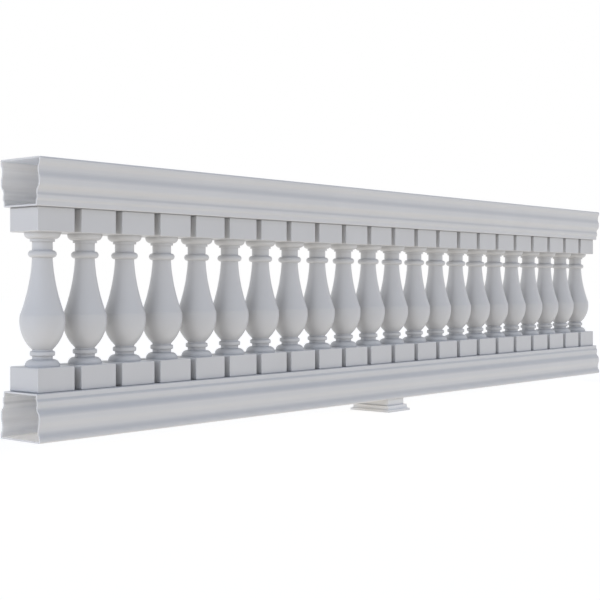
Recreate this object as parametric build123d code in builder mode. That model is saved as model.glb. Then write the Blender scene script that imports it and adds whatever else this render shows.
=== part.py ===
"""Balustrade section: two hollow moulded rails, a row of turned balusters between them
and one foot that carries the bottom rail at mid-span. Millimetres, Z up, X along the rails."""
import os

from build123d import *

# Whole section
section_length = 3658
section_height = 910

# Rails: one hollow moulding, wide face up on the top rail and down on the bottom rail
rail_height = 147
rail_width = 197
rail_wall = 5
rail_edge_round = 3

# Balusters: a square block at each end and a turned vase between
block_side = 139
block_gap = 27
block_height = 76
block_round = 5
block_front_round = 3
block_corner_round = 1.5
neck_radius = 31.5
belly_projection = 38
base_projection = 22
bead_projection = 7
ring_projection = 12
band_projection = 6.5
cap_projection = 17.5
vase_hollow = 6.5

# Foot: a moulded base under a plain block
foot_height = 53
foot_length = 150
foot_depth = 198
foot_base_height = 26
foot_projection = 18
foot_block_round = 4

# Steps of the rail moulding: inset from the lip as a share of half the rail's width,
# then where the step starts and ends below the wide face as shares of the rail's height.
# The lip is rounded over a share of its own depth
rail_step_shares = {
    "lip": (0.0, 0.0, 0.045),
    "recess": (0.08, 0.235, 0.265),
    "bulge": (0.027, 0.44, 0.53),
    "quirk": (0.148, 0.71, 0.715),
    "bead": (0.126, 0.785, 0.83),
    "band": (0.172, 0.905, 1.0),
}
rail_swing_share = 0.55
rail_lip_round_share = 0.9

# Heights on the turned part, as shares of the height between the two blocks
base_edge_share = 0.004
base_top_share = 0.052
bead_low_share = 0.077
bead_top_share = 0.114
bead_round_share = 0.3
bowl_low_share = 0.125
belly_share = 0.339
crease_share = 0.381
vase_top_share = 0.796
ring_low_share = 0.812
ring_top_share = 0.867
band_low_share = 0.932
band_top_share = 0.95
cap_edge_share = 0.993

# Base moulding of the foot: heights as shares of its height, steps as shares of its projection
foot_plate_share = 0.34
foot_cove_share = 0.64
foot_ledge_share = 0.13
foot_bead_share = 0.52
foot_bead_round_share = 0.13

# Worked-out sizes
half_length = section_length / 2
half_rail = rail_width / 2
lip_depth = rail_step_shares["lip"][-1] * rail_height
lip_round = rail_lip_round_share * lip_depth
baluster_height = section_height - foot_height - 2 * rail_height
baluster_bottom = foot_height + rail_height
turned_height = baluster_height - 2 * block_height
baluster_count = int(section_length // (block_side + block_gap))
baluster_pitch = section_length / baluster_count

# Rail sections stand on the wide face's centre line, with their depth towards the balusters
bottom_rail_plane = Plane(origin=(-half_length, 0, foot_height), x_dir=(0, 1, 0), z_dir=(1, 0, 0))
top_rail_plane = Plane(origin=(half_length, 0, section_height), x_dir=(0, 1, 0), z_dir=(-1, 0, 0))


def swing(start, end):
    """Join two points by a pair of tangent arcs that leave and arrive along the rail's depth."""
    middle = Vector(*start) + (Vector(*end) - Vector(*start)) * rail_swing_share
    first = TangentArc(start, middle, tangent=(0, 1))
    TangentArc(middle, end, tangent=first % 1)


def rail_half_outline(wall):
    """Draw one half of the rail's moulding, moved in from its skin by the wall."""
    steps = []
    for inset_share, start_share, end_share in rail_step_shares.values():
        half = half_rail * (1 - inset_share) - wall
        start = (half, max(start_share * rail_height, wall))
        end = (half, min(end_share * rail_height, rail_height - wall))
        steps.append((start, end))
    Line((0, wall), steps[0][0])
    for number, (start, end) in enumerate(steps):
        Line(start, end)
        if number + 1 < len(steps):
            swing(end, steps[number + 1][0])
    Line(steps[-1][1], (0, rail_height - wall))
    Line((0, rail_height - wall), (0, wall))


def make_rail(name, plane):
    """Extrude the hollow moulding over the whole length of the section."""
    with BuildPart() as rail:
        with BuildSketch(plane) as skin:
            with BuildLine():
                rail_half_outline(0)
            make_face()
            mirror(about=Plane.YZ)
            fillet(skin.vertices().group_by(Axis.Y)[0], radius=lip_round)
            fillet(skin.vertices().group_by(Axis.Y)[-1], radius=rail_edge_round)
        extrude(amount=section_length)
        with BuildSketch(plane):
            with BuildLine():
                rail_half_outline(rail_wall)
            make_face()
            mirror(about=Plane.YZ)
        extrude(amount=section_length, mode=Mode.SUBTRACT)
    rail.part.label = name
    export_step(rail.part, f"parts/{name}.step")


def turned_outline():
    """Draw the turned part's outline from the lower block to the upper one."""
    base_radius = neck_radius + base_projection
    belly_radius = neck_radius + belly_projection
    ring_radius = neck_radius + ring_projection
    bead_radius = neck_radius + bead_projection
    band_radius = neck_radius + band_projection
    cap_radius = band_radius + cap_projection

    base_edge = base_edge_share * turned_height
    base_top = base_top_share * turned_height
    bead_low = bead_low_share * turned_height
    bead_top = bead_top_share * turned_height
    bead_round = bead_round_share * (bead_top - bead_low)
    bowl_low = bowl_low_share * turned_height
    belly = belly_share * turned_height
    crease = crease_share * turned_height
    vase_top = vase_top_share * turned_height
    ring_low = ring_low_share * turned_height
    ring_top = ring_top_share * turned_height
    band_low = band_low_share * turned_height
    band_top = band_top_share * turned_height
    cap_edge = cap_edge_share * turned_height

    Polyline((0, 0), (base_radius, 0), (base_radius, base_edge))
    TangentArc((base_radius, base_edge), (neck_radius, base_top), tangent=(0, 1))
    Polyline((neck_radius, base_top), (neck_radius, bead_low), (bead_radius - bead_round, bead_low))
    lower_edge = (bead_radius, bead_low + bead_round)
    upper_edge = (bead_radius, bead_top - bead_round)
    TangentArc((bead_radius - bead_round, bead_low), lower_edge, tangent=(1, 0))
    Line(lower_edge, upper_edge)
    TangentArc(upper_edge, (bead_radius - bead_round, bead_top), tangent=(0, 1))
    Polyline((bead_radius - bead_round, bead_top), (neck_radius, bead_top), (neck_radius, bowl_low))

    # The bowl and its short rise above the belly are one circle, up to the crease under the vase
    bowl = TangentArc((belly_radius, belly), (neck_radius, bowl_low), tangent=(0, -1))
    bowl_radius = bowl.radius
    rise = crease - belly
    crease_radius = belly_radius - bowl_radius + (bowl_radius**2 - rise**2) ** 0.5
    TangentArc((belly_radius, belly), (crease_radius, crease), tangent=(0, 1))
    waist = ((crease_radius + neck_radius) / 2 - vase_hollow, (crease + vase_top) / 2)
    ThreePointArc((crease_radius, crease), waist, (neck_radius, vase_top))

    Line((neck_radius, vase_top), (neck_radius, ring_low))
    ThreePointArc(
        (neck_radius, ring_low),
        (ring_radius, (ring_low + ring_top) / 2),
        (neck_radius, ring_top),
    )
    Polyline(
        (neck_radius, ring_top),
        (neck_radius, band_low),
        (band_radius, band_low),
        (band_radius, band_top),
    )
    TangentArc((cap_radius, cap_edge), (band_radius, band_top), tangent=(0, -1))
    Polyline((cap_radius, cap_edge), (cap_radius, turned_height), (0, turned_height), (0, 0))


def turn_baluster():
    """Turn one baluster between its two square blocks, standing on its own centre."""
    lower_middle = block_height / 2
    upper_middle = baluster_height - block_height / 2
    with BuildPart() as turned:
        with BuildSketch():
            RectangleRounded(block_side, block_side, block_corner_round)
        extrude(amount=baluster_height)
        for side, edge_round in ((Plane.XZ, block_round), (Plane.YZ, block_front_round)):
            with BuildSketch(side):
                with Locations((0, lower_middle), (0, upper_middle)):
                    RectangleRounded(block_side, block_height, edge_round)
            extrude(amount=block_side / 2, both=True, mode=Mode.INTERSECT)
        with BuildSketch(Plane(origin=(0, 0, block_height), x_dir=(1, 0, 0), z_dir=(0, -1, 0))):
            with BuildLine():
                turned_outline()
            make_face()
        revolve(axis=Axis.Z)
    return turned.part


def make_balusters():
    """Stand the balusters along the bottom rail, half a pitch in from each end."""
    turned = turn_baluster()
    for number in range(baluster_count):
        along = (number + 1 / 2) * baluster_pitch - half_length
        name = f"baluster_{number + 1:02d}"
        with BuildPart(Plane(origin=(along, 0, baluster_bottom))) as baluster:
            add(turned)
        baluster.part.label = name
        export_step(baluster.part, f"parts/{name}.step")


def foot_half_outline(half):
    """Draw one half of the foot's base moulding for a given half width."""
    plate_top = foot_plate_share * foot_base_height
    cove_top = foot_cove_share * foot_base_height
    ledge = half - foot_ledge_share * foot_projection
    bead = half - foot_projection * (1 - foot_bead_share)
    bead_round = foot_bead_round_share * foot_base_height
    Polyline((0, 0), (half, 0), (half, plate_top), (ledge, plate_top))
    TangentArc((ledge, plate_top), (bead, cove_top), tangent=(-1, 0))
    Line((bead, cove_top), (bead, foot_base_height - bead_round))
    TangentArc(
        (bead, foot_base_height - bead_round),
        (bead - bead_round, foot_base_height),
        tangent=(0, 1),
    )
    Polyline((bead - bead_round, foot_base_height), (0, foot_base_height), (0, 0))


def make_foot_base(name):
    """Cross the moulding along both sides of the foot, so that its corners are mitred."""
    with BuildPart() as base:
        with BuildSketch(Plane.XZ):
            with BuildLine():
                foot_half_outline(foot_length / 2)
            make_face()
            mirror(about=Plane.YZ)
        extrude(amount=foot_depth / 2, both=True)
        with BuildSketch(Plane.YZ):
            with BuildLine():
                foot_half_outline(foot_depth / 2)
            make_face()
            mirror(about=Plane.YZ)
        extrude(amount=foot_length / 2, both=True, mode=Mode.INTERSECT)
    base.part.label = name
    export_step(base.part, f"parts/{name}.step")


def make_foot_block(name):
    """Stand a plain block on the base, up to the bottom rail's wide face."""
    with BuildPart(Plane.XY.offset(foot_base_height)) as block:
        Box(
            foot_length - 2 * foot_projection,
            foot_depth - 2 * foot_projection,
            foot_height - foot_base_height,
            align=(Align.CENTER, Align.CENTER, Align.MIN),
        )
        fillet(block.edges().filter_by(Axis.Z), radius=foot_block_round)
    block.part.label = name
    export_step(block.part, f"parts/{name}.step")


os.makedirs("parts", exist_ok=True)
make_rail("top_rail", top_rail_plane)
make_rail("bottom_rail", bottom_rail_plane)
make_balusters()
make_foot_base("foot_base")
make_foot_block("foot_block")
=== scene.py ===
"""Looks of the moulded balustrade section: white satin plastic in a soft white studio. Metres."""
import math

import bpy
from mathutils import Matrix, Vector


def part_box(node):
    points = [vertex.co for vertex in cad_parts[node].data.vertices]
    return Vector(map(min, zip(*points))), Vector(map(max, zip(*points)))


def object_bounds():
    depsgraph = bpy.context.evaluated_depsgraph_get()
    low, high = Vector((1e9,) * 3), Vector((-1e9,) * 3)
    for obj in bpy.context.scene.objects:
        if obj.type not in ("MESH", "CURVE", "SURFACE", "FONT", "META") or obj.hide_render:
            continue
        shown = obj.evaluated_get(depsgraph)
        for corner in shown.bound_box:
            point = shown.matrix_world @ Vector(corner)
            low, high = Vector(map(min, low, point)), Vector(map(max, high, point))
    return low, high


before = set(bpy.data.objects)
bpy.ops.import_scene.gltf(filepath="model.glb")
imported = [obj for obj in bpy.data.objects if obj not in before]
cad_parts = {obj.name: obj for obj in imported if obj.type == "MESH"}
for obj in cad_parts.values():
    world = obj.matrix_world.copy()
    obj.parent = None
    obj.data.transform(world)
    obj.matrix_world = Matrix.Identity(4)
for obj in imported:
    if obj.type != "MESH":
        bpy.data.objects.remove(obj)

cad_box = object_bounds()
floor_level = cad_box[0][2]

# Camera: the photograph's viewing angle, level, from below the top rail and past the left end
CAMERA_PLACE = (-4.0066, -2.956, 0.5302)
CAMERA_HEADING = 0.8675
CAMERA_LENS = 70.92
CAMERA_SENSOR = 36.0
CAMERA_SHIFT = -0.0275

# Studio floor: what it shows to the eye, what it throws up at the object, and what takes the shadow
WHITE = (1.0, 1.0, 1.0, 1.0)
FLOOR_SIZE = 60.0
FLOOR_WHITE = 0.85
FLOOR_GLOW = 0.79
GLOW_COLOUR = (1.0, 0.935, 0.845, 1.0)
FLOOR_COLOUR = (0.30, 0.295, 0.285, 1.0)

# Sky: white where it is looked at. It lights with a faint even light and with soft lights, by
# direction, focus and strength: past the left end, in front of the right end, overhead and behind
BACKDROP_STRENGTH = 1.0
SKY_COLOUR = (0.76, 0.835, 1.0, 1.0)
SKY_STRENGTH = 0.10
SOFT_LIGHTS = (
    ((-1.0, 0.0, 0.2), 10.0, 4.15),
    ((0.7, -0.7, 0.2), 4.0, 1.66),
    ((0.0, 0.0, 1.0), 14.0, 1.5),
    ((0.3, 1.0, 0.1), 8.0, 0.85),
)

# Moulded plastic: base colours, and noises for clouds in them, flow marks and the fine skin.
# Flow marks are stretched along each piece
RAIL_COLOUR = (0.65, 0.65, 0.65, 1.0)
BALUSTER_COLOUR = (0.605, 0.605, 0.605, 1.0)
FOOT_COLOUR = (0.85, 0.85, 0.845, 1.0)
CLOUD_SHADE = 0.965
CLOUD_NOISE = {"Scale": 6.0, "Detail": 4.0, "Roughness": 0.55}
FLOW_NOISE = {"Scale": 1.0, "Detail": 3.0, "Roughness": 0.5}
SKIN_NOISE = {"Scale": 420.0, "Detail": 2.0, "Roughness": 0.5}
NOISE_RANGE = (0.3, 0.7)
RAIL_STRETCH = (1.5, 160.0, 160.0)
BALUSTER_STRETCH = (30.0, 30.0, 60.0)
FOOT_STRETCH = (40.0, 40.0, 120.0)
ROUGHNESS_RANGE = (0.30, 0.38)
BUMP_STRENGTH = 0.12
BUMP_HEIGHT = 0.0004
SPECULAR = 0.8

# Painted shade, a bluish grey, in grooves, by how open they are, and on the rails' slopes, by how far
# these face up
PAINTED_SHADE_COLOUR = (0.40, 0.41, 0.43, 1.0)
OPENNESS_REACH = 0.02
OPENNESS_SAMPLES = 8
GROOVE_OPENNESS = (0.35, 0.95)
GROOVE_PAINTED_SHADE = 0.6
SLOPE_PAINTED_SHADE = ((0.0, 0.0), (0.10, 0.2), (0.45, 0.45), (0.85, 0.45), (0.95, 0.0))

# Paler edges, partly wear and partly a painted highlight: where the skin turns within a short reach, on
# open places only, and in patches
WEAR_AND_PAINTED_HIGHLIGHT_COLOUR = (0.78, 0.78, 0.785, 1.0)
EDGE_REACH = 0.004
EDGE_SAMPLES = 6
EDGE_TURN = (0.99, 0.85)
WEAR_AND_PAINTED_HIGHLIGHT_SHARE = 0.6
EDGE_OPENNESS = (0.8, 0.95)
PATCH_RANGE = (0.35, 0.6)
PATCH_SHARES = (0.5, 1.0)

# Inside of the rails: paler skin, which is painted light in the hollow, and light that comes through the
# wall, most near the wide face, with the same spread in red, green and blue
INSIDE_PAINTED_LIGHT_COLOUR = (0.93, 0.93, 0.925, 1.0)
WALL_GLOW_NARROW = 0.2
WALL_GLOW_WIDE = 0.8
WALL_REACH = 0.06
WALL_SPREAD = (1.0, 1.0, 1.0)

# Sockets of a colour Mix node, which share their names with its other kinds
MIX_FIRST, MIX_SECOND, MIX_RESULT = 6, 7, 2


def new_material(name):
    """Return a material with an empty node tree, and that tree."""
    material = bpy.data.materials.new(name)
    material.use_nodes = True
    tree = material.node_tree
    tree.nodes.clear()
    return material, tree


def add_node(tree, kind, inputs=None, **settings):
    """Add a node, set its properties and link or set its inputs."""
    node = tree.nodes.new(kind)
    for key, value in settings.items():
        setattr(node, key, value)
    for key, value in (inputs or {}).items():
        if isinstance(value, bpy.types.NodeSocket):
            tree.links.new(value, node.inputs[key])
        else:
            node.inputs[key].default_value = value
    return node


def calculate(tree, operation, *values):
    """Work out one value from others."""
    node = add_node(tree, "ShaderNodeMath", dict(enumerate(values)), operation=operation)
    return node.outputs["Value"]


def dot_product(tree, first, second):
    """Return how far two directions agree."""
    node = add_node(tree, "ShaderNodeVectorMath", {0: first, 1: second}, operation="DOT_PRODUCT")
    return node.outputs["Value"]


def remap(tree, value, source=(0.0, 1.0), target=(0.0, 1.0)):
    """Carry a value from one range to another, and hold it at the ends."""
    limits = {"From Min": source[0], "From Max": source[1], "To Min": target[0], "To Max": target[1]}
    return add_node(tree, "ShaderNodeMapRange", {"Value": value, **limits}).outputs["Result"]


def noise(tree, place, grain):
    """Return a noise of the given grain."""
    return add_node(tree, "ShaderNodeTexNoise", {"Vector": place, **grain}).outputs["Fac"]


def blend_colours(tree, share, first, second):
    """Mix two colours, each a plain colour or a socket, by a share."""
    inputs = {0: share, MIX_FIRST: first, MIX_SECOND: second}
    return add_node(tree, "ShaderNodeMix", inputs, data_type="RGBA").outputs[MIX_RESULT]


def slope_painted_shade(tree):
    """Painted shade on slopes that face up, fading out on level faces."""
    normal = add_node(tree, "ShaderNodeNewGeometry").outputs["True Normal"]
    lift = add_node(tree, "ShaderNodeSeparateXYZ", {"Vector": normal}).outputs["Z"]
    ramp = add_node(tree, "ShaderNodeValToRGB", {"Fac": lift})
    stops = ramp.color_ramp.elements
    stops.remove(stops[1])
    for number, (lift_share, shade_share) in enumerate(SLOPE_PAINTED_SHADE):
        stop = stops.new(lift_share) if number else stops[0]
        stop.position = lift_share
        stop.color = (shade_share, shade_share, shade_share, 1.0)
    return ramp.outputs["Color"]


def worn_edges_and_painted_highlight(tree, openness, clouds):
    """Paler outer edges, partly wear and partly a painted highlight where rounded edges catch light,
    broken up by the clouds.
    """
    normal = add_node(tree, "ShaderNodeNewGeometry").outputs["Normal"]
    bevel = add_node(tree, "ShaderNodeBevel", {"Radius": EDGE_REACH}, samples=EDGE_SAMPLES)
    likeness = dot_product(tree, bevel.outputs["Normal"], normal)
    edge = remap(tree, likeness, EDGE_TURN, (0.0, WEAR_AND_PAINTED_HIGHLIGHT_SHARE))
    outer = remap(tree, openness, EDGE_OPENNESS)
    patches = remap(tree, clouds, PATCH_RANGE, PATCH_SHARES)
    return calculate(tree, "MULTIPLY", calculate(tree, "MULTIPLY", edge, outer), patches)


def inside_of_rail(tree, place, wide_face, narrow_face):
    """One on the skin that faces the rail's centre line, and how much light its wall lets through."""
    parts = add_node(tree, "ShaderNodeSeparateXYZ", {"Vector": place}).outputs
    height = calculate(tree, "SUBTRACT", parts["Z"], (wide_face + narrow_face) / 2)
    spoke = add_node(tree, "ShaderNodeCombineXYZ", {"Y": parts["Y"], "Z": height}).outputs["Vector"]
    normal = add_node(tree, "ShaderNodeNewGeometry").outputs["True Normal"]
    inside = calculate(tree, "LESS_THAN", dot_product(tree, spoke, normal), 0.0)
    glow_range = (WALL_GLOW_NARROW, WALL_GLOW_WIDE)
    through = remap(tree, parts["Z"], (narrow_face, wide_face), glow_range)
    return inside, calculate(tree, "MULTIPLY", inside, through)


def plastic_material(name, pale, stretch, wide_face=None, narrow_face=None):
    """Satin white moulding. A rail gives the heights of its faces, for its slopes and its inside."""
    material, tree = new_material(name)
    place = add_node(tree, "ShaderNodeTexCoord").outputs["Object"]
    along = add_node(tree, "ShaderNodeMapping", {"Vector": place, "Scale": stretch}).outputs["Vector"]
    clouds = noise(tree, place, CLOUD_NOISE)
    flow = noise(tree, along, FLOW_NOISE)
    skin = noise(tree, place, SKIN_NOISE)
    openness = add_node(
        tree, "ShaderNodeAmbientOcclusion", {"Distance": OPENNESS_REACH}, samples=OPENNESS_SAMPLES
    ).outputs["AO"]

    dull = [channel * CLOUD_SHADE for channel in pale[:3]] + [1.0]
    colour = blend_colours(tree, remap(tree, clouds, NOISE_RANGE), dull, pale)
    # Paler edges: wear, and a painted highlight along the rounded edges
    colour = blend_colours(tree, worn_edges_and_painted_highlight(tree, openness, clouds), colour, WEAR_AND_PAINTED_HIGHLIGHT_COLOUR)
    # Painted shade: grooves and creases that are little open turn darker bluish grey
    painted_shade = remap(tree, openness, GROOVE_OPENNESS, (GROOVE_PAINTED_SHADE, 0.0))
    glow = 0.0
    if wide_face is not None:
        inside, glow = inside_of_rail(tree, place, wide_face, narrow_face)
        # Paler inside skin: painted light in the hollow of the rail
        colour = blend_colours(tree, inside, colour, INSIDE_PAINTED_LIGHT_COLOUR)
        # Painted shade on the rails' slopes that face up, taken where it is stronger than in the grooves
        painted_shade = calculate(tree, "MAXIMUM", painted_shade, slope_painted_shade(tree))
    colour = blend_colours(tree, painted_shade, colour, PAINTED_SHADE_COLOUR)

    height = calculate(tree, "ADD", skin, flow)
    bump = add_node(
        tree, "ShaderNodeBump", {"Height": height, "Strength": BUMP_STRENGTH, "Distance": BUMP_HEIGHT}
    ).outputs["Normal"]
    shader = add_node(
        tree,
        "ShaderNodeBsdfPrincipled",
        {
            "Base Color": colour,
            "Roughness": remap(tree, flow, NOISE_RANGE, ROUGHNESS_RANGE),
            "Normal": bump,
            "Specular IOR Level": SPECULAR,
            "Subsurface Weight": glow,
            "Subsurface Radius": WALL_SPREAD,
            "Subsurface Scale": WALL_REACH,
        },
    )
    add_node(tree, "ShaderNodeOutputMaterial", {"Surface": shader.outputs["BSDF"]})
    return material


def seen_directly(tree):
    """One where the camera, a mirror or glass looks, and zero for light that bounces."""
    path = add_node(tree, "ShaderNodeLightPath").outputs
    mirrored = calculate(tree, "MAXIMUM", path["Is Camera Ray"], path["Is Glossy Ray"])
    return calculate(tree, "MAXIMUM", mirrored, path["Is Transmission Ray"])


def floor_material():
    """White sweep: near white to the eye with a faint shadow, and a warm glow for the object."""
    material, tree = new_material("studio_floor")
    seen = seen_directly(tree)
    strength = remap(tree, seen, target=(FLOOR_GLOW, FLOOR_WHITE))
    tint = blend_colours(tree, seen, GLOW_COLOUR, WHITE)
    glow = add_node(tree, "ShaderNodeEmission", {"Color": tint, "Strength": strength})
    matte = add_node(tree, "ShaderNodeBsdfDiffuse", {"Color": FLOOR_COLOUR})
    both = add_node(
        tree, "ShaderNodeAddShader", {0: glow.outputs["Emission"], 1: matte.outputs["BSDF"]}
    )
    add_node(tree, "ShaderNodeOutputMaterial", {"Surface": both.outputs["Shader"]})
    return material


def make_floor():
    """Lay the floor under the foot."""
    mesh = bpy.data.meshes.new("studio_floor")
    half = FLOOR_SIZE / 2
    outline = ((-half, -half), (half, -half), (half, half), (-half, half))
    corners = [(x, y, floor_level) for x, y in outline]
    mesh.from_pydata(corners, [], [range(len(corners))])
    mesh.materials.append(floor_material())
    floor = bpy.data.objects.new("studio_floor", mesh)
    bpy.context.scene.collection.objects.link(floor)


def make_sky():
    """Faint cool sky with the soft lights in it, and plain white where it is looked at."""
    world = bpy.data.worlds.new("studio_sky")
    bpy.context.scene.world = world
    world.use_nodes = True
    tree = world.node_tree
    tree.nodes.clear()
    direction = add_node(tree, "ShaderNodeTexCoord").outputs["Generated"]
    strength = SKY_STRENGTH
    for towards, focus, power in SOFT_LIGHTS:
        facing = dot_product(tree, direction, Vector(towards).normalized())
        lobe = calculate(tree, "POWER", calculate(tree, "MAXIMUM", facing, 0.0), focus)
        strength = calculate(tree, "MULTIPLY_ADD", lobe, power, strength)
    lit = add_node(tree, "ShaderNodeBackground", {"Color": SKY_COLOUR, "Strength": strength})
    white = add_node(tree, "ShaderNodeBackground", {"Color": WHITE, "Strength": BACKDROP_STRENGTH})
    backdrop = add_node(
        tree,
        "ShaderNodeMixShader",
        {0: seen_directly(tree), 1: lit.outputs["Background"], 2: white.outputs["Background"]},
    )
    add_node(tree, "ShaderNodeOutputWorld", {"Surface": backdrop.outputs["Shader"]})


def make_camera():
    """Stand the camera where the photograph was taken from."""
    camera = bpy.data.cameras.new("camera")
    camera.sensor_width = CAMERA_SENSOR
    camera.lens = CAMERA_LENS
    camera.shift_y = CAMERA_SHIFT
    camera.clip_end = FLOOR_SIZE * 2
    stand = bpy.data.objects.new("camera", camera)
    stand.location = CAMERA_PLACE
    stand.rotation_euler = (math.pi / 2, 0.0, -CAMERA_HEADING)
    bpy.context.scene.collection.objects.link(stand)
    bpy.context.scene.camera = stand


def dress_pieces():
    """Give each CAD node the plastic of its family in every slot."""
    top_low, top_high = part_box("top_rail")
    bottom_low, bottom_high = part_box("bottom_rail")
    top_faces = (top_high[2], top_low[2])
    bottom_faces = (bottom_low[2], bottom_high[2])
    plastics = {
        "top_rail": plastic_material("top_rail_plastic", RAIL_COLOUR, RAIL_STRETCH, *top_faces),
        "bottom_rail": plastic_material("bottom_rail_plastic", RAIL_COLOUR, RAIL_STRETCH, *bottom_faces),
        "baluster": plastic_material("baluster_plastic", BALUSTER_COLOUR, BALUSTER_STRETCH),
        "foot": plastic_material("foot_plastic", FOOT_COLOUR, FOOT_STRETCH),
    }
    for node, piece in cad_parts.items():
        family = next(start for start in plastics if node.startswith(start))
        for slot in piece.material_slots:
            slot.material = plastics[family]


dress_pieces()
make_floor()
make_sky()
make_camera()
bpy.context.scene.view_settings.view_transform = "Standard"
